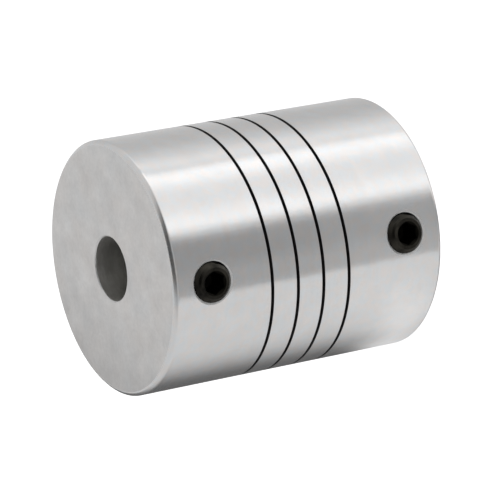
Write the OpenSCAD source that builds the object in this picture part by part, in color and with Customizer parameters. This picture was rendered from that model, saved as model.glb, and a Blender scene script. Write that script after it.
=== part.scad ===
// Flexible shaft coupling, one turned aluminium body with a helical slit and two set screws at each end.
// The coupling stands on its lower end face. The shaft axis is Z, and the origin is the centre of that face.

/* [Body] */
// Outside diameter of the body
body_d = 25; // [22:0.5:32]
// Length of the body from end face to end face
body_l = 30; // [26:0.5:40]
// Diameter of the shaft bore
bore_d = 6.35; // [4:0.05:8]
// Chamfer round the rim of each end face
rim_chamfer = 0.35; // [0.1:0.05:0.8]
// Edge break at each mouth of the bore
bore_edge = 0.1; // [0.05:0.05:0.3]

/* [Helical slit] */
// Width of the slit
slit_w = 0.35; // [0.25:0.05:0.6]
// Rise of the slit in one turn
slit_pitch = 2.86; // [2.2:0.01:3.2]
// Turns of the slit on the outside of the body
slit_turns = 4; // [3:0.25:5]
// Direction from the axis in which the slit starts, in degrees
slit_from = 68; // [0:1:359]
// Diameter of the slitting saw, whose arc the two ends of the slit keep
saw_d = 63; // [40:1:100]

/* [Set screws] */
// Thread diameter of the set screws
screw_d = 3.9; // [3.5:0.1:5]
// Length of a set screw
screw_l = 6; // [4:0.5:7]
// Radial gap between a screw and its hole
screw_gap = 0.05; // [0.02:0.01:0.1]
// Distance of the screws' axes from the nearer end face
screw_inset = 4.15; // [3.5:0.05:6]
// Angle between the two screws of one end
screw_spread = 90; // [60:5:120]
// Turn of the upper end's screws against the lower end's, as drilled
end_turn = 5.6; // [0:0.1:30]
// Height of the front screws above the outside of the body
front_proud = 0.45; // [0:0.05:1.5]
// Depth of the side screws below the outside of the body
side_sunk = 0.2; // [0:0.05:1.5]
// Chamfer round the socket end of a screw
screw_chamfer = 0.35; // [0.1:0.05:0.4]
// Width of the hexagon socket across its flats
socket_af = 2; // [1.5:0.1:2.2]
// Depth of the hexagon socket
socket_l = 2.5; // [1.5:0.1:2.8]
// Edge break at the mouth of the socket
socket_edge = 0.1; // [0.05:0.01:0.15]
// Rim diameter of the cup point
cup_d = 2; // [1.4:0.1:2.4]
// Depth of the hollow in the cup point
cup_l = 0.5; // [0.2:0.05:0.6]

/* [Hidden] */
$fn = 96;
body_r = body_d / 2;
bore_r = bore_d / 2;
screw_r = screw_d / 2;
hole_r = screw_r + screw_gap;

// How far a cut reaches past the surface that it opens
past = 0.5;

// The lower front screw points along -Y, the next one is screw_spread further round
front_dir = -90;
lower_z = screw_inset;
upper_z = body_l - screw_inset;
front_end_r = body_r + front_proud;
side_end_r = body_r - side_sunk;

// The slit seen from above: it turns slit_angle degrees about the shaft axis, and full depth opens into the bore
slit_angle = 360 * slit_turns;
slit_low_z = (body_l - slit_turns * slit_pitch) / 2;
slit_in_r = bore_r - past;
slit_out_r = body_r + past;

// Run-outs: the saw's rim reaches in to slit_in_r and leaves the body rim_end degrees further round the saw.
// The rim of a small saw would turn back inside the body, and there the slit ends square instead.
saw_r = saw_d / 2;
saw_axis_r = slit_in_r + saw_r;
rim_end = min(
    acos((pow(saw_axis_r, 2) + pow(saw_r, 2) - pow(body_r, 2)) / (2 * saw_axis_r * saw_r)),
    acos(saw_r / saw_axis_r)
);
run_out = rim_place(rim_end)[0];
run_steps = 12;
full_steps = ceil((slit_angle - 2 * run_out) / 6);

// Stations along the slit, each with its angle from the start of the slit and the radius of the slit's floor
stations = concat(
    [for (i = [run_steps : -1 : 1]) let (p = rim_place(rim_end * i / run_steps)) [run_out - p[0], p[1]]],
    [for (i = [0 : full_steps]) [run_out + (slit_angle - 2 * run_out) * i / full_steps, slit_in_r]],
    [for (i = [1 : run_steps]) let (p = rim_place(rim_end * i / run_steps)) [slit_angle - run_out + p[0], p[1]]]
);

// Direction and distance from the shaft axis of the point b degrees round the saw's rim from its deepest reach
function rim_place(b) =
    let (x = saw_axis_r - saw_r * cos(b), y = saw_r * sin(b))
    [atan2(y, x), norm([x, y])];

// The four corners of the slit's section at a station
function slit_ring(station) =
    let (
        floor_r = station[1],
        z = slit_low_z + slit_pitch * station[0] / 360,
        c = cos(slit_from + station[0]),
        s = sin(slit_from + station[0])
    )
    [
        [floor_r * c, floor_r * s, z - slit_w / 2],
        [slit_out_r * c, slit_out_r * s, z - slit_w / 2],
        [slit_out_r * c, slit_out_r * s, z + slit_w / 2],
        [floor_r * c, floor_r * s, z + slit_w / 2]
    ];

// Helical cutter for the slit, four corners to a ring
module slit_cutter() {
    points = [for (station = stations) for (p = slit_ring(station)) p];
    last = len(points) - 4;
    sides = [
        for (i = [0 : 4 : last - 4])
            for (k = [0 : 3])
                let (a = i + k, b = i + (k + 1) % 4)
                for (face = [[a, b, a + 4], [b, b + 4, a + 4]]) face
    ];
    caps = [[0, 2, 1], [0, 3, 2], [last, last + 1, last + 2], [last, last + 2, last + 3]];
    polyhedron(points = points, faces = concat(sides, caps), convexity = 10);
}

// Radial hole for a set screw, from the bore outwards
module screw_hole(z, dir) {
    translate([0, 0, z])
        rotate([0, 90, dir])
            cylinder(r = hole_r, h = body_r + past);
}

// Half section of the turned body
module body_profile() {
    polygon([
        [bore_r + bore_edge, 0],
        [body_r - rim_chamfer, 0],
        [body_r, rim_chamfer],
        [body_r, body_l - rim_chamfer],
        [body_r - rim_chamfer, body_l],
        [bore_r + bore_edge, body_l],
        [bore_r, body_l - bore_edge],
        [bore_r, bore_edge]
    ]);
}

module coupling_body() {
    color("silver")
        difference() {
            rotate_extrude()
                body_profile();
            slit_cutter();
            screw_hole(lower_z, front_dir);
            screw_hole(lower_z, front_dir - screw_spread);
            screw_hole(upper_z, front_dir - end_turn);
            screw_hole(upper_z, front_dir - end_turn - screw_spread);
        }
}

// Half section of a set screw, with its socket end at 0 and its cup point below
module screw_profile() {
    cup_r = cup_d / 2;
    polygon([
        [0, 0],
        [screw_r - screw_chamfer, 0],
        [screw_r, -screw_chamfer],
        [screw_r, -screw_l + screw_r - cup_r],
        [cup_r, -screw_l],
        [0, -screw_l + cup_l]
    ]);
}

// Hexagon socket with a drilled bottom and a countersunk mouth
module socket() {
    corner_r = socket_af / 2 / cos(30);
    mouth_r = corner_r + socket_edge;
    translate([0, 0, -socket_l])
        cylinder(r = corner_r, h = socket_l + past, $fn = 6);
    translate([0, 0, -socket_l - socket_af / 4])
        cylinder(r1 = 0, r2 = socket_af / 2, h = socket_af / 4);
    translate([0, 0, -mouth_r])
        cylinder(r1 = 0, r2 = mouth_r + past, h = mouth_r + past);
}

// Set screw in its hole, with its socket end end_r from the shaft axis
module set_screw(z, dir, end_r) {
    color([0.13, 0.13, 0.14])
        rotate([0, 0, dir])
            translate([end_r, 0, z])
                rotate([0, 90, 0])
                    difference() {
                        rotate_extrude()
                            screw_profile();
                        socket();
                    }
}

module upper_front_screw() {
    set_screw(upper_z, front_dir - end_turn, front_end_r);
}

module upper_side_screw() {
    set_screw(upper_z, front_dir - end_turn - screw_spread, side_end_r);
}

module lower_front_screw() {
    set_screw(lower_z, front_dir, front_end_r);
}

module lower_side_screw() {
    set_screw(lower_z, front_dir - screw_spread, side_end_r);
}

coupling_body();
upper_front_screw();
upper_side_screw();
lower_front_screw();
lower_side_screw();
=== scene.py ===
# Looks of a flexible shaft coupling: a turned aluminium body with a helical slit, and four set screws.
# The pieces are modelled in millimetres and brought to metres when they are finished.
# The coupling stands on its lower end face, and its shaft axis is Z.
from math import acos, atan2, ceil, cos, degrees, hypot, pi, radians, sin, sqrt

import bpy
from mathutils import Matrix, Quaternion, Vector


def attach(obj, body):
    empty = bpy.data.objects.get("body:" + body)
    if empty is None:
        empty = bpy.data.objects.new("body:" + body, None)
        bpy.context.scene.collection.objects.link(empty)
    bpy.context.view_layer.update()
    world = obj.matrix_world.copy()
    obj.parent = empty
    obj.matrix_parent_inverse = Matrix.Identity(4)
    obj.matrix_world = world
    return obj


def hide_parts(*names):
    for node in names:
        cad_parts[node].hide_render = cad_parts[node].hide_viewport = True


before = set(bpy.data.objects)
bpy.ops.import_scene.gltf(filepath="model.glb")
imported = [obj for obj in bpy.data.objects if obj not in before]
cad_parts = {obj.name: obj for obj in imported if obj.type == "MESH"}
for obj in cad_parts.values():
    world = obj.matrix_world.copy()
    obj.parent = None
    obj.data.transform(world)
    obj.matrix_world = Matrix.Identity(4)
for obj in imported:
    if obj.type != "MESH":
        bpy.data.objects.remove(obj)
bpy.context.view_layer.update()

MM = 0.001
FULL_TURN = 2 * pi

# Edges that turn by more than this stay sharp when a piece is smoothed
SHARP = radians(30)

# Points nearer to each other than MERGE are made one, and what lies within TOUCH of a flat face is on it.
# The middle of a facet lies a little inside its round surface, by less than FACET_GAP.
MERGE = 1e-4
TOUCH = 1e-3
FACET_GAP = 0.01

# How far a cutter reaches past the surface that it opens
PAST = 0.5

# Body
BODY_R = 12.5
BODY_L = 30.0
BORE_R = 3.175
RIM_CHAMFER = 0.35
RIM_ROUNDING = 0.12
RIM_STEPS = 3
BORE_EDGE = 0.1
BODY_STEPS = 240

# Helical slit, and the saw whose arc its two ends keep
SLIT_W = 0.35
SLIT_PITCH = 2.86
SLIT_TURNS = 4
SLIT_FROM = radians(68)
SLIT_LOW_Z = (BODY_L - SLIT_TURNS * SLIT_PITCH) / 2
SLIT_IN_R = BORE_R - PAST
SLIT_OUT_R = BODY_R + PAST
SAW_R = 31.5
SAW_AXIS_R = SLIT_IN_R + SAW_R

# Tapped holes. Their wall stands clear of the set screws, and the thread is cut into it from there.
HOLE_FROM_R = 1.0
HOLE_R = 1.95
HOLE_THREAD_DEPTH = 0.1
HOLE_THREAD_START = radians(17)
HOLE_MOUTH = 0.12
MOUTH_SLOPE = 0.35
MOUTH_STEEP = HOLE_MOUTH / 3
MOUTH_REACH = 4 * HOLE_MOUTH
MOUTH_LIFT = 0.002
MOUTH_STEPS = 64

# Set screws
SCREW_R = 1.91
SCREW_L = 6.0
SCREW_CHAMFER = 0.35
SCREW_BREAK_W = 0.04
SCREW_BREAK_L = 0.03
SCREW_STEPS = 96
THREAD_PITCH = 0.7
THREAD_FLANK = 0.36 * THREAD_PITCH
THREAD_FLAT = 0.14 * THREAD_PITCH
THREAD_DEPTH = 0.38
THREAD_STEPS = 56
SOCKET_AF = 2.0
SOCKET_L = 2.5
SOCKET_EDGE = 0.06
SOCKET_STEPS = 48
SOCKET_CORNER_R = SOCKET_AF / 2 / cos(radians(30))
SOCKET_MOUTH_R = SOCKET_CORNER_R + SOCKET_EDGE
CUP_R = 1.0
CUP_L = 0.5
CUP_RIM = 0.02

# Where the set screws sit: height, direction from the axis, and reach of the socket end.
# The two at one end are SCREW_SPREAD apart, and the upper two are turned by END_TURN from the lower two.
SCREW_INSET = 4.15
SCREW_SPREAD = 90
FRONT_DIR = -90
END_TURN = 5.6
UPPER_Z = BODY_L - SCREW_INSET
FRONT_END_R = BODY_R + 0.45
SIDE_END_R = BODY_R - 0.2
SCREWS = {
    "upper_front": (UPPER_Z, FRONT_DIR - END_TURN, FRONT_END_R),
    "upper_side": (UPPER_Z, FRONT_DIR - END_TURN - SCREW_SPREAD, SIDE_END_R),
    "lower_front": (SCREW_INSET, FRONT_DIR, FRONT_END_R),
    "lower_side": (SCREW_INSET, FRONT_DIR - SCREW_SPREAD, SIDE_END_R),
}

# Camera, as the photograph was taken, in millimetres and degrees, and in metres for what it can see.
# The coupling lies across the picture, so the camera is rolled over.
CAMERA_AIM = Vector((-0.623, -0.293, 14.645))
CAMERA_DISTANCE = 339.4
CAMERA_AZIMUTH = 8.47
CAMERA_ELEVATION = 29.2
CAMERA_ROLL = -100.57
CAMERA_LENS = 248.5
CAMERA_SENSOR_W = 36
CAMERA_NEAREST_M = 0.01
CAMERA_FARTHEST_M = 10

# Floor: its side in metres, its gap below the coupling so that they don't share a plane, and its glow
FLOOR_W_M = 6
FLOOR_GAP = 0.02
FLOOR_GLOW = 0.8

# Light tent: direction of its front, where the camera stands, and the brightness of its walls and roof.
# The walls blend into the roof below ROOF_FROM, the sine of a slope. The roof is darker near the camera.
TENT_FRONT = -80
WALLS = 0.34
ROOF = 0.61
ROOF_FROM = 0.36
ROOF_SHADE = 0.56
ROOF_SHADE_ROUND = (-50, 28, 58, 26)
ROOF_SHADE_UP = (0.52, 0.24)

# Upright panels in the walls: the brightness that each adds, the angle where it starts and half the width
# of that soft edge, and the same where it ends, if it does. Angles are in degrees from the front, with +X
# on the positive side.
PANELS = {
    "right wall": (0.17, 20, 10),
    "right window": (0.35, 15, 9, 102, 22),
    "strip lamp in the right window": (0.38, 65, 11, 78.5, 0.6),
    "post beside the strip lamp": (-0.20, 79, 0.6, 83, 1),
    "sheet behind the post": (0.07, 83, 1, 95, 7),
    "near edge of the right window": (0.24, 18, 7, 34, 12),
    "right part of the back wall": (0.18, 154, 20),
    "shade of the camera": (-0.06, -18, 10, 12, 10),
    "left window": (0.305, -118, 30, -40, 1.5),
    "left part of the back wall": (-0.25, -200, 1, -128, 22),
    "gap in the back wall": (-0.50, 173, 4),
}


# Modelling, as by hand


def pick_up(piece):
    """Makes piece the only selected object."""
    bpy.ops.object.select_all(action="DESELECT")
    piece.select_set(True)
    bpy.context.view_layer.objects.active = piece


def open_mesh(piece, test=None):
    """Opens piece in edit mode, with the vertices selected whose place passes test, or all of them."""
    pick_up(piece)
    bpy.ops.object.mode_set(mode="EDIT")
    bpy.ops.mesh.select_mode(type="VERT")
    if test is None:
        bpy.ops.mesh.select_all(action="SELECT")
        return
    bpy.ops.mesh.select_all(action="DESELECT")
    bpy.ops.object.mode_set(mode="OBJECT")
    for vertex in piece.data.vertices:
        vertex.select = test(vertex.co)
    bpy.ops.object.mode_set(mode="EDIT")


def close_mesh():
    """Leaves edit mode."""
    bpy.ops.object.mode_set(mode="OBJECT")


def sketch(name, points):
    """Draws a line through points, each (distance from the axis, height), in the XZ plane."""
    bpy.ops.object.select_all(action="DESELECT")
    bpy.ops.mesh.primitive_plane_add(size=1)
    piece = bpy.context.object
    piece.name = name
    open_mesh(piece)
    bpy.ops.mesh.merge(type="CENTER")
    here = Vector((0, 0, 0))
    for number, (x, z) in enumerate(points):
        step = Vector((x, 0, z)) - here
        if number == 0:
            bpy.ops.transform.translate(value=step)
        else:
            bpy.ops.mesh.extrude_region_move(TRANSFORM_OT_translate={"value": step})
        here += step
    close_mesh()
    return piece


def join_ends(piece):
    """Joins the two ends of a sketched line, so that it goes all round."""
    open_mesh(piece)
    bpy.ops.mesh.edge_face_add()
    bpy.ops.mesh.delete(type="ONLY_FACE")
    close_mesh()


def turn_on_lathe(piece, steps):
    """Spins the sketched half section once round Z."""
    open_mesh(piece)
    bpy.ops.mesh.spin(steps=steps, angle=FULL_TURN, center=(0, 0, 0), axis=(0, 0, 1))
    bpy.ops.mesh.select_all(action="SELECT")
    bpy.ops.mesh.remove_doubles(threshold=MERGE)
    bpy.ops.mesh.normals_make_consistent(inside=False)
    close_mesh()
    return piece


def wind(piece, rise, turns, steps):
    """Winds the sketched section up Z with a Screw modifier."""
    pick_up(piece)
    winding = piece.modifiers.new("winding", "SCREW")
    winding.axis = "Z"
    winding.angle = FULL_TURN
    winding.screw_offset = rise
    winding.iterations = turns
    winding.steps = winding.render_steps = steps
    bpy.ops.object.modifier_apply(modifier=winding.name)
    open_mesh(piece)
    bpy.ops.mesh.remove_doubles(threshold=MERGE)
    close_mesh()
    return piece


def close_to_point(piece, test):
    """Closes the open edge that passes test with a fan to its middle."""
    open_mesh(piece)
    bpy.ops.mesh.select_all(action="DESELECT")
    bpy.ops.mesh.select_non_manifold(
        use_wire=False, use_multi_face=False, use_non_contiguous=False, use_verts=False
    )
    close_mesh()
    vertices = piece.data.vertices
    for vertex in vertices:
        vertex.select = vertex.select and test(vertex.co)
    for edge in piece.data.edges:
        edge.select = all(vertices[i].select for i in edge.vertices)
    bpy.ops.object.mode_set(mode="EDIT")
    bpy.ops.mesh.extrude_edges_move()
    bpy.ops.mesh.merge(type="CENTER")
    close_mesh()


def cut(piece, tool, operation="DIFFERENCE"):
    """Cuts piece with tool, or keeps what both share, and takes the tool away."""
    pick_up(piece)
    boolean = piece.modifiers.new("cut", "BOOLEAN")
    boolean.operation = operation
    boolean.object = tool
    boolean.solver = "EXACT"
    bpy.ops.object.modifier_apply(modifier=boolean.name)
    bpy.data.objects.remove(tool)


def place(piece, matrix):
    """Moves the mesh and leaves the object at the origin."""
    piece.data.transform(matrix)
    piece.data.update()


def facing(face):
    """A face's distance from the Z axis, and how squarely it looks outwards, from -1 for inwards to 1."""
    middle = face.center
    reach = hypot(middle.x, middle.y)
    return reach, Vector((middle.x, middle.y, 0)).normalized().dot(face.normal)


def outward(z, direction, reach):
    """From a screw's own axis, Z up to its socket end at 0, to its place in the body."""
    return (
        Matrix.Rotation(radians(direction), 4, "Z")
        @ Matrix.Translation((reach, 0, z))
        @ Matrix.Rotation(radians(90), 4, "Y")
    )


# Body


def body_blank():
    """The turned body before it is slit and drilled."""
    piece = sketch(
        "turned_body",
        [
            (BORE_R + BORE_EDGE, 0),
            (BODY_R - RIM_CHAMFER, 0),
            (BODY_R, RIM_CHAMFER),
            (BODY_R, BODY_L - RIM_CHAMFER),
            (BODY_R - RIM_CHAMFER, BODY_L),
            (BORE_R + BORE_EDGE, BODY_L),
            (BORE_R, BODY_L - BORE_EDGE),
            (BORE_R, BORE_EDGE),
        ],
    )
    join_ends(piece)
    turn_on_lathe(piece, BODY_STEPS)
    round_rims(piece)
    return piece


def round_rims(piece):
    """Rounds the edges that run round both rims, on either side of their chamfers, and no other edges."""
    open_mesh(piece, lambda p: hypot(p.x, p.y) > BODY_R - RIM_CHAMFER - FACET_GAP)
    bpy.ops.mesh.select_mode(type="EDGE")
    close_mesh()
    for edge in piece.data.edges:
        a, b = (piece.data.vertices[i].co for i in edge.vertices)
        runs_round = abs(a.z - b.z) < MERGE and abs(hypot(a.x, a.y) - hypot(b.x, b.y)) < TOUCH
        edge.select = edge.select and runs_round
    for face in piece.data.polygons:
        face.select = False
    bpy.ops.object.mode_set(mode="EDIT")
    bpy.ops.mesh.bevel(offset=RIM_ROUNDING, segments=RIM_STEPS)
    close_mesh()


def slit_cutter():
    """The slit's section wound round the axis, its floor at both ends lifted along the saw's arc."""
    piece = sketch(
        "slit_cutter",
        [
            (SLIT_IN_R, SLIT_LOW_Z - SLIT_W / 2),
            (SLIT_OUT_R, SLIT_LOW_Z - SLIT_W / 2),
            (SLIT_OUT_R, SLIT_LOW_Z + SLIT_W / 2),
            (SLIT_IN_R, SLIT_LOW_Z + SLIT_W / 2),
        ],
    )
    join_ends(piece)
    place(piece, Matrix.Rotation(SLIT_FROM, 4, "Z"))
    wind(piece, SLIT_PITCH, SLIT_TURNS, BODY_STEPS)
    open_mesh(piece)
    bpy.ops.mesh.fill_holes(sides=4)
    bpy.ops.mesh.select_all(action="SELECT")
    bpy.ops.mesh.normals_make_consistent(inside=False)
    close_mesh()

    # Where the saw's arc leaves the body, seen from the saw's axis and from the shaft axis
    rim_end = acos((SAW_AXIS_R**2 + SAW_R**2 - BODY_R**2) / (2 * SAW_AXIS_R * SAW_R))
    run_out = atan2(SAW_R * sin(rim_end), SAW_AXIS_R - SAW_R * cos(rim_end))
    slit_angle = SLIT_TURNS * FULL_TURN
    for vertex in piece.data.vertices:
        p = vertex.co
        radius = hypot(p.x, p.y)
        if radius > BODY_R:
            continue
        # How far round the slit the point lies, with its turn told by its height
        azimuth = atan2(p.y, p.x) - SLIT_FROM
        climbed = (p.z - SLIT_LOW_Z) / SLIT_PITCH * FULL_TURN
        along = azimuth + FULL_TURN * round((climbed - azimuth) / FULL_TURN)
        to_full = max(run_out - along, along - (slit_angle - run_out), 0)
        half_chord = sqrt(max(SAW_R**2 - (SAW_AXIS_R * sin(to_full)) ** 2, 0))
        floor = SAW_AXIS_R * cos(to_full) - half_chord
        p.x, p.y = p.x * floor / radius, p.y * floor / radius
    return piece


def threaded_rod(name, root_r, crest_r, length):
    """A rod with a screw thread from 0 down to -length, with a pitch to spare at either end."""
    turns = ceil(length / THREAD_PITCH) + 2
    bottom = -(turns - 1) * THREAD_PITCH
    piece = sketch(
        name,
        [
            (root_r, bottom),
            (root_r, bottom + THREAD_FLAT),
            (crest_r, bottom + THREAD_FLAT + THREAD_FLANK),
            (crest_r, bottom + 2 * THREAD_FLAT + THREAD_FLANK),
            (root_r, bottom + THREAD_PITCH),
        ],
    )
    wind(piece, THREAD_PITCH, turns, THREAD_STEPS)
    middle = -length / 2
    close_to_point(piece, lambda p: p.z < middle)
    close_to_point(piece, lambda p: p.z > middle)
    open_mesh(piece)
    bpy.ops.mesh.normals_make_consistent(inside=False)
    close_mesh()
    return piece


def hole_cutter(z, direction):
    """Cutter for a tapped hole, turned so that its thread misses the body's own edges."""
    piece = threaded_rod("hole_cutter", HOLE_R, HOLE_R + HOLE_THREAD_DEPTH, BODY_R - HOLE_FROM_R)
    place(piece, outward(z, direction, BODY_R) @ Matrix.Rotation(HOLE_THREAD_START, 4, "Z"))
    return piece


def mouth_cutter(z, direction):
    """Cutter for the broken edge at a hole's mouth. Its rings follow the round outside of the body."""
    mouth_r = HOLE_R + HOLE_THREAD_DEPTH + HOLE_MOUTH
    rings = [
        (mouth_r - MOUTH_REACH, BODY_R - MOUTH_REACH * MOUTH_SLOPE),
        (mouth_r - MOUTH_STEEP, BODY_R - MOUTH_STEEP * MOUTH_SLOPE),
        (mouth_r, BODY_R + MOUTH_LIFT),
        (mouth_r, BODY_R + PAST),
    ]
    piece = sketch("mouth_cutter", [(0, rings[0][1])] + rings + [(0, rings[-1][1])])
    turn_on_lathe(piece, MOUTH_STEPS)
    for vertex in piece.data.vertices:
        p = vertex.co
        p.z = sqrt(p.z**2 - p.y**2)
    place(piece, outward(z, direction, 0))
    return piece


def exact_normals(piece):
    """Gives the outside, bore and end faces their true normals, so that reflections run straight."""
    mesh = piece.data
    pick_up(piece)
    bpy.ops.object.shade_smooth_by_angle(angle=SHARP)
    normals = [Vector((0, 0, 0))] * len(mesh.loops)
    for face in mesh.polygons:
        reach, radial = facing(face)
        side = 0
        if radial > 0.999 and reach > BODY_R - FACET_GAP:
            side = 1
        elif radial < -0.98 and reach < BORE_R + FACET_GAP:
            side = -1
        is_end = abs(face.normal.z) > 0.9999 and min(face.center.z, BODY_L - face.center.z) < TOUCH
        for number in face.loop_indices:
            p = mesh.vertices[mesh.loops[number].vertex_index].co
            if side:
                normals[number] = side * Vector((p.x, p.y, 0)).normalized()
            elif is_end:
                normals[number] = Vector((0, 0, 1 if face.normal.z > 0 else -1))
    mesh.normals_split_custom_set(normals)


def coupling_body():
    """The body, slit and with its four tapped holes."""
    piece = body_blank()
    cut(piece, slit_cutter())
    for z, direction, _ in SCREWS.values():
        cut(piece, hole_cutter(z, direction))
        cut(piece, mouth_cutter(z, direction))
    exact_normals(piece)
    return piece


# Set screws


def set_screw_blank():
    """One set screw with its socket end at 0: a threaded rod with a chamfer, a cup point and a socket."""
    piece = threaded_rod("set_screw", SCREW_R - THREAD_DEPTH, SCREW_R, SCREW_L)
    wide_r = SCREW_R + PAST
    flat_r = SCREW_R - SCREW_CHAMFER
    envelope = sketch(
        "envelope",
        [
            (0, 0),
            (flat_r - SCREW_BREAK_W, 0),
            (flat_r, -SCREW_BREAK_L),
            (wide_r, -SCREW_BREAK_L - (wide_r - flat_r)),
            (wide_r, -SCREW_L + wide_r - CUP_R),
            (CUP_R + SCREW_BREAK_W, -SCREW_L + SCREW_BREAK_W),
            (CUP_R - CUP_RIM, -SCREW_L),
            (0, -SCREW_L + CUP_L),
        ],
    )
    cut(piece, turn_on_lathe(envelope, SCREW_STEPS), "INTERSECT")

    # The socket's hexagon, the drill's point below it, and the broken edge at its mouth
    bpy.ops.object.select_all(action="DESELECT")
    bpy.ops.mesh.primitive_cylinder_add(
        vertices=6, radius=SOCKET_CORNER_R, depth=SOCKET_L + PAST, location=(0, 0, (PAST - SOCKET_L) / 2)
    )
    cut(piece, bpy.context.object)
    drill_r = SOCKET_AF / 2
    point_l = drill_r / 2
    inside_z = -1
    drill = sketch(
        "drill",
        [
            (0, -SOCKET_L - point_l),
            (drill_r, -SOCKET_L),
            (drill_r, inside_z),
            (0, inside_z),
        ],
    )
    cut(piece, turn_on_lathe(drill, SOCKET_STEPS))
    countersink = sketch(
        "countersink",
        [
            (0, -SOCKET_MOUTH_R),
            (SOCKET_MOUTH_R + PAST, PAST),
            (0, PAST),
        ],
    )
    cut(piece, turn_on_lathe(countersink, SOCKET_STEPS))
    pick_up(piece)
    bpy.ops.object.shade_smooth_by_angle(angle=SHARP)
    return piece


# Finishes

# Faint tints of the aluminium's bloom
WARM = (1.0, 0.965, 0.95, 1)
COOL = (0.955, 0.975, 1.0, 1)


class Signal:
    """A shader socket that adds, subtracts and multiplies like a number."""

    def __init__(self, finish, socket):
        self.finish, self.socket = finish, socket

    def maths(self, operation, first, second):
        """Works out first and second with a Math node."""
        return self.finish.node("ShaderNodeMath", {"operation": operation}, {0: first, 1: second})

    def __add__(self, other):
        return self.maths("ADD", self, other)

    def __sub__(self, other):
        return self.maths("SUBTRACT", self, other)

    def __rsub__(self, other):
        return self.maths("SUBTRACT", other, self)

    def __mul__(self, other):
        return self.maths("MULTIPLY", self, other)

    __radd__ = __add__
    __rmul__ = __mul__


class Finish:
    """A material, or the light round the coupling, put together node by node."""

    def __init__(self, owner):
        self.owner = owner
        owner.use_nodes = True
        self.tree = owner.node_tree
        self.tree.nodes.clear()

    def node(self, kind, settings=None, sockets=None, out=0):
        """Adds a node with its settings, then its sockets' values or links, and returns one output."""
        made = self.tree.nodes.new(kind)
        for name, value in (settings or {}).items():
            setattr(made, name, value)
        for name, value in (sockets or {}).items():
            if isinstance(value, Signal):
                self.tree.links.new(value.socket, made.inputs[name])
            else:
                made.inputs[name].default_value = value
        return Signal(self, made.outputs[out]) if made.outputs else None

    def place_in_mm(self):
        """Where a point lies on the piece, in millimetres."""
        coordinates = self.node("ShaderNodeTexCoord", out="Object")
        sockets = {0: coordinates, "Scale": 1 / MM}
        return self.node("ShaderNodeVectorMath", {"operation": "SCALE"}, sockets)

    def vector(self, x=0.0, y=0.0, z=0.0):
        """Three numbers as one vector."""
        return self.node("ShaderNodeCombineXYZ", sockets={0: x, 1: y, 2: z})

    def length(self, vector):
        """How long a vector is."""
        return self.node("ShaderNodeVectorMath", {"operation": "LENGTH"}, {0: vector}, "Value")

    def apart(self, vector):
        """The three numbers of a vector."""
        made = self.node("ShaderNodeSeparateXYZ", sockets={0: vector}).socket.node
        return [Signal(self, output) for output in made.outputs]

    def noise(self, point, scale, detail=2.0, roughness=0.5):
        """Cloudy patches between 0 and 1, about 1 / scale millimetres across."""
        sockets = {"Vector": point, "Scale": scale, "Detail": detail, "Roughness": roughness}
        return self.node("ShaderNodeTexNoise", {"noise_dimensions": "3D"}, sockets, "Fac")

    def blend(self, share, first, second):
        """A colour between two."""
        return self.node("ShaderNodeMix", {"data_type": "RGBA"}, {0: share, 6: first, 7: second}, out=2)

    def tinted(self, colour, tint):
        """A colour multiplied by a tint."""
        settings = {"data_type": "RGBA", "blend_type": "MULTIPLY"}
        return self.node("ShaderNodeMix", settings, {0: 1.0, 6: colour, 7: tint}, out=2)

    def ramp(self, value, start, end):
        """How far value has come from start to end, as a smooth step from 0 to 1."""
        settings = {"interpolation_type": "SMOOTHSTEP"}
        return self.node("ShaderNodeMapRange", settings, {0: value, 1: start, 2: end})

    def band(self, value, start, start_edge, end=None, end_edge=None):
        """1 between start and end, or from start on, else 0, with soft edges of these half widths."""
        share = self.ramp(value, start - start_edge, start + start_edge)
        return share if end is None else share * (1.0 - self.ramp(value, end - end_edge, end + end_edge))

    def bump(self, height):
        """The normal of a surface with a relief, given in millimetres."""
        return self.node("ShaderNodeBump", sockets={"Height": height, "Strength": 1.0, "Distance": MM})

    def metal(self, **sockets):
        """Ends the material in one metal shader, with what it says for the shader's sockets."""
        named = {name.replace("_", " "): value for name, value in sockets.items()}
        surface = self.node("ShaderNodeBsdfPrincipled", sockets={"Metallic": 1.0, **named})
        self.node("ShaderNodeOutputMaterial", sockets={"Surface": surface})
        return self.owner


def turned_finish():
    """The outside, turned with a fine feed and wiped along its length, with a faint bloom in patches."""
    finish = Finish(bpy.data.materials.new("turned aluminium"))
    place_mm = finish.place_in_mm()
    x, y, z = finish.apart(place_mm)
    feed = finish.noise(finish.vector(x * 0.03, y * 0.03, z), 5.0, 3, 0.7)
    bloom = finish.noise(place_mm, 0.5)
    waves = finish.noise(place_mm, 0.3)
    streaks = finish.noise(finish.vector(x, y, z * 0.15), 2.4)
    tint = finish.blend(finish.ramp(finish.noise(place_mm, 1.3), 0.35, 0.65), WARM, COOL)
    dull = (0.80, 0.80, 0.795, 1)
    bright = (0.95, 0.95, 0.945, 1)
    colour = finish.blend(feed * 0.4 + bloom * 0.6, dull, bright)
    relief = feed * 0.002 + waves * 0.015 + streaks * 0.002
    return finish.metal(
        Base_Color=finish.tinted(colour, tint),
        Roughness=0.16 + 0.07 * feed,
        Anisotropic=1.0,
        Anisotropic_Rotation=0.25,
        Normal=finish.bump(relief),
    )


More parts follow.
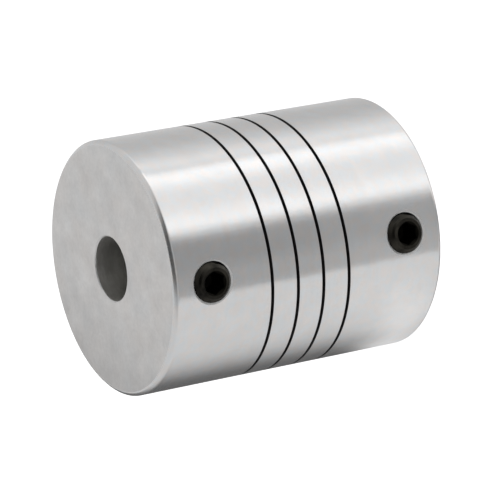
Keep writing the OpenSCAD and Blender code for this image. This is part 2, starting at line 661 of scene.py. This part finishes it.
def faced_finish():
    """The end faces, faced flat and matt, with faint rings and cloudy patches, and painted shade that
    makes them darker towards one side.
    """
    finish = Finish(bpy.data.materials.new("faced aluminium"))
    place_mm = finish.place_in_mm()
    x, y, _ = finish.apart(place_mm)
    clouds = finish.noise(place_mm, 0.4, 5, 0.65)
    grain = finish.noise(place_mm, 2.5)
    rings = finish.noise(finish.vector(finish.length(finish.vector(x, y))), 9.0)
    # Painted shade: the colour grows darker towards -X, as though less light fell on that side of the
    # face.
    painted_shade_side = finish.ramp(y * 0.29 - x * 0.96, 2.0, 14.0)
    tint = finish.blend(finish.noise(place_mm, 0.35, 1), WARM, COOL)
    shade = 1.1 * clouds + 0.3 * grain - 0.12 - 0.55 * painted_shade_side
    # The stained colour stands for both the cloudy patches and the painted shade towards -X.
    stained = (0.68, 0.675, 0.665, 1)
    clean = (1.0, 0.995, 0.98, 1)
    colour = finish.blend(shade, stained, clean)
    relief = rings * 0.002 + grain * 0.004 + clouds * 0.05
    return finish.metal(
        Base_Color=finish.tinted(colour, tint),
        Roughness=0.38 + 0.1 * clouds,
        Normal=finish.bump(relief),
    )


def bored_finish():
    """The bore, drilled and reamed, with marks that run round it."""
    finish = Finish(bpy.data.materials.new("bored aluminium"))
    x, y, z = finish.apart(finish.place_in_mm())
    marks = finish.noise(finish.vector(x * 0.3, y * 0.3, z), 1.6, 4, 0.7)
    stained = (0.80, 0.79, 0.76, 1)
    clean = (1.0, 0.99, 0.965, 1)
    colour = finish.blend(marks * 1.8 - 0.4, stained, clean)
    return finish.metal(
        Base_Color=colour,
        Roughness=0.30 + 0.2 * marks,
        Normal=finish.bump(marks * 0.025),
    )


def sawn_finish():
    """The walls of the slit, with the saw's fine scoring, coloured dark with painted shade of the narrow
    slit.
    """
    finish = Finish(bpy.data.materials.new("sawn aluminium"))
    scoring = finish.noise(finish.place_in_mm(), 3.0, 3)
    # Painted shade: these greys are far darker than bare aluminium, for the shade inside the slit.
    dark = (0.16, 0.16, 0.16, 1)
    pale = (0.32, 0.32, 0.32, 1)
    colour = finish.blend(scoring, dark, pale)
    return finish.metal(
        Base_Color=colour,
        Roughness=0.42 + 0.12 * scoring,
        Normal=finish.bump(scoring * 0.01),
    )


def tapped_finish():
    """The threads of the set screw holes, coloured dark all over with painted shade of the deep hole,
    darker in some patches.
    """
    finish = Finish(bpy.data.materials.new("tapped aluminium"))
    painted_shade_patches = finish.noise(finish.place_in_mm(), 2.5)
    # Painted shade: both colours are far darker than bare aluminium, for the shade inside the hole behind
    # the screw.
    painted_recess_shade = (0.22, 0.215, 0.21, 1)
    clean = (0.62, 0.615, 0.60, 1)
    colour = finish.blend(painted_shade_patches, painted_recess_shade, clean)
    return finish.metal(Base_Color=colour, Roughness=0.3 + 0.15 * painted_shade_patches)


def broken_edge_finish():
    """The broken edges at the holes' mouths, bright from the tool."""
    finish = Finish(bpy.data.materials.new("bright aluminium edge"))
    nicks = finish.noise(finish.place_in_mm(), 2.2)
    dull = (0.60, 0.60, 0.595, 1)
    bright = (0.95, 0.95, 0.94, 1)
    colour = finish.blend(nicks, dull, bright)
    return finish.metal(
        Base_Color=colour,
        Roughness=0.36 + 0.2 * nicks,
        Normal=finish.bump(nicks * 0.06),
    )


def black_finish():
    """Black oxide on the set screws, worn browner in patches."""
    finish = Finish(bpy.data.materials.new("blackened steel"))
    place_mm = finish.place_in_mm()
    patches = finish.noise(place_mm, 0.9, 3)
    pits = finish.noise(place_mm, 9.0)
    black = (0.008, 0.008, 0.008, 1)
    worn = (0.062, 0.057, 0.047, 1)
    colour = finish.blend(1.6 * patches - 0.3, black, worn)
    return finish.metal(
        Base_Color=colour,
        Roughness=0.20 + 0.16 * patches,
        Normal=finish.bump(pits * 0.006),
    )


def socket_finish():
    """The inside of a set screw's socket, matt black, with painted shade that makes it darker than the
    screw's black oxide.
    """
    finish = Finish(bpy.data.materials.new("blackened socket with painted shade"))
    patches = finish.noise(finish.place_in_mm(), 2.0)
    # Painted shade: both colours are darker than the screw's black oxide, for the shade deep in the
    # socket.
    black = (0.004, 0.004, 0.003, 1)
    painted_recess_shade = (0.016, 0.015, 0.012, 1)
    colour = finish.blend(patches, black, painted_recess_shade)
    return finish.metal(Base_Color=colour, Roughness=0.45 + 0.15 * patches)


def dress_body(piece):
    """Gives each surface of the body its own finish."""
    mesh = piece.data
    finishes = (turned_finish, faced_finish, bored_finish, sawn_finish, tapped_finish, broken_edge_finish)
    for finish in finishes:
        mesh.materials.append(finish())
    turned, faced, bored, sawn, tapped, edge = range(len(finishes))
    rim = RIM_CHAMFER + RIM_ROUNDING
    hole_zone = HOLE_R + 0.3
    for face in mesh.polygons:
        middle = face.center
        reach, radial = facing(face)
        from_end = min(middle.z, BODY_L - middle.z)
        from_hole = min(beside_hole(middle, z, direction) for z, direction, _ in SCREWS.values())
        in_mouth = reach > BODY_R - MOUTH_REACH and from_hole > HOLE_R - FACET_GAP and radial > 0.3
        if reach > BODY_R - FACET_GAP and radial > 0.99:
            face.material_index = turned
        elif from_end < TOUCH:
            face.material_index = faced
        elif reach > BODY_R - rim and from_end < rim:
            face.material_index = turned
        elif reach < BORE_R + BORE_EDGE and from_end < BORE_EDGE:
            face.material_index = edge
        elif reach < BORE_R + FACET_GAP and radial < -0.9:
            face.material_index = bored
        elif from_hole < hole_zone:
            face.material_index = edge if in_mouth else tapped
        else:
            face.material_index = sawn


def beside_hole(point, z, direction):
    """How far a point lies from a set screw hole's axis, and far off on the other side of the body."""
    out = Vector((cos(radians(direction)), sin(radians(direction)), 0))
    if point.dot(out) < 0:
        return BODY_R
    across = point - out * point.dot(out) - Vector((0, 0, z))
    return across.length


def dress_screw(piece):
    """Blackens a set screw, and its socket more, with painted shade inside the socket."""
    mesh = piece.data
    mesh.materials.append(black_finish())
    mesh.materials.append(socket_finish())
    for face in mesh.polygons:
        reach, _ = facing(face)
        in_socket = reach < SOCKET_MOUTH_R and -SOCKET_L - SOCKET_AF < face.center.z < -FACET_GAP
        face.material_index = 1 if in_socket else 0


# Studio


def set_camera():
    """The photograph's camera, a long lens from the front and above, rolled over."""
    azimuth, elevation = radians(CAMERA_AZIMUTH), radians(CAMERA_ELEVATION)
    back = Vector((sin(azimuth) * cos(elevation), -cos(azimuth) * cos(elevation), sin(elevation)))
    camera = bpy.data.objects.new("camera", bpy.data.cameras.new("camera"))
    bpy.context.scene.collection.objects.link(camera)
    camera.rotation_mode = "QUATERNION"
    camera.location = (CAMERA_AIM + back * CAMERA_DISTANCE) * MM
    roll = Quaternion((0, 0, 1), radians(CAMERA_ROLL))
    camera.rotation_quaternion = (-back).to_track_quat("-Z", "Y") @ roll
    camera.data.lens = CAMERA_LENS
    camera.data.sensor_width = CAMERA_SENSOR_W
    camera.data.clip_start = CAMERA_NEAREST_M
    camera.data.clip_end = CAMERA_FARTHEST_M
    bpy.context.scene.camera = camera


def lay_floor():
    """A plain white floor that glows a little, as a lit table does. The metal mirrors little of it."""
    bpy.ops.object.select_all(action="DESELECT")
    bpy.ops.mesh.primitive_plane_add(size=FLOOR_W_M, location=(0, 0, -FLOOR_GAP * MM))
    floor = bpy.context.object
    floor.name = "floor"
    finish = Finish(bpy.data.materials.new("white table"))
    place_mm = finish.place_in_mm()
    x, y, _ = finish.apart(place_mm)
    away = finish.length(place_mm)

    # What shows in the metal: a patch close to its left, a faint wide one in front, and a trace elsewhere
    close_by = 1.0 - finish.ramp(away, BODY_R, 25.5)
    to_left = finish.ramp(y * 0.3 - x * 0.95, 0.0, 15.0) * (1.0 - finish.ramp(y, 1.0, 10.0))
    farther = 1.0 - finish.ramp(away, 20.0, 52.0)
    in_front = finish.ramp(x * 0.2 - y * 0.98, 6.0, 16.0)
    mirrored = 0.03 + 0.68 * (close_by * to_left) + 0.10 * (farther * in_front)
    is_glossy = finish.node("ShaderNodeLightPath", out="Is Glossy Ray")
    lit = finish.node(
        "ShaderNodeBsdfPrincipled",
        sockets={
            "Base Color": (0.8, 0.8, 0.8, 1),
            "Roughness": 0.9,
            "Emission Color": (1, 1, 1, 1),
            "Emission Strength": FLOOR_GLOW,
        },
    )
    clear = finish.node("ShaderNodeBsdfTransparent")
    mixed = finish.node("ShaderNodeMixShader", sockets={0: is_glossy * (1 - mirrored), 1: lit, 2: clear})
    finish.node("ShaderNodeOutputMaterial", sockets={"Surface": mixed})
    floor.data.materials.append(finish.owner)


def light_tent():
    """Soft upright panels all round the coupling, and plain white wherever the camera looks past it."""
    world = bpy.data.worlds.new("light tent")
    bpy.context.scene.world = world
    finish = Finish(world)
    direction = finish.node("ShaderNodeTexCoord", out="Generated")
    x, y, height = finish.apart(direction)
    front_x, front_y = cos(radians(TENT_FRONT)), sin(radians(TENT_FRONT))
    ahead = x * front_x + y * front_y
    aside = y * front_x - x * front_y
    # The angle jumps from 180 to -180 degrees straight behind the coupling
    angle = finish.node("ShaderNodeMath", {"operation": "ARCTAN2"}, {0: aside, 1: ahead}) * degrees(1)
    walls = WALLS
    for brightness, *edges in PANELS.values():
        walls = walls + brightness * finish.band(angle, *edges)
    shaded = finish.band(angle, *ROOF_SHADE_ROUND) * finish.band(height, *ROOF_SHADE_UP)
    roof = ROOF - ROOF_SHADE * shaded
    light = walls + finish.ramp(height, 0.0, ROOF_FROM) * (roof - walls)
    is_camera = finish.node("ShaderNodeLightPath", out="Is Camera Ray")
    strength = light + is_camera * (1.0 - light)
    white = (1, 1, 1, 1)
    background = finish.node("ShaderNodeBackground", sockets={"Color": white, "Strength": strength})
    finish.node("ShaderNodeOutputWorld", sockets={"Surface": background})


set_camera()
lay_floor()
light_tent()
bpy.context.scene.view_settings.view_transform = "Standard"

body = coupling_body()
dress_body(body)
place(body, Matrix.Scale(MM, 4))
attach(body, "body")
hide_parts("coupling_body")

blank = set_screw_blank()
dress_screw(blank)
for where, (z, direction, reach) in SCREWS.items():
    screw = bpy.data.objects.new(where + "_screw_threaded", blank.data.copy())
    bpy.context.scene.collection.objects.link(screw)
    place(screw, Matrix.Scale(MM, 4) @ outward(z, direction, reach))
    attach(screw, where + "_set_screw")
    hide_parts(where + "_screw")
bpy.data.objects.remove(blank)
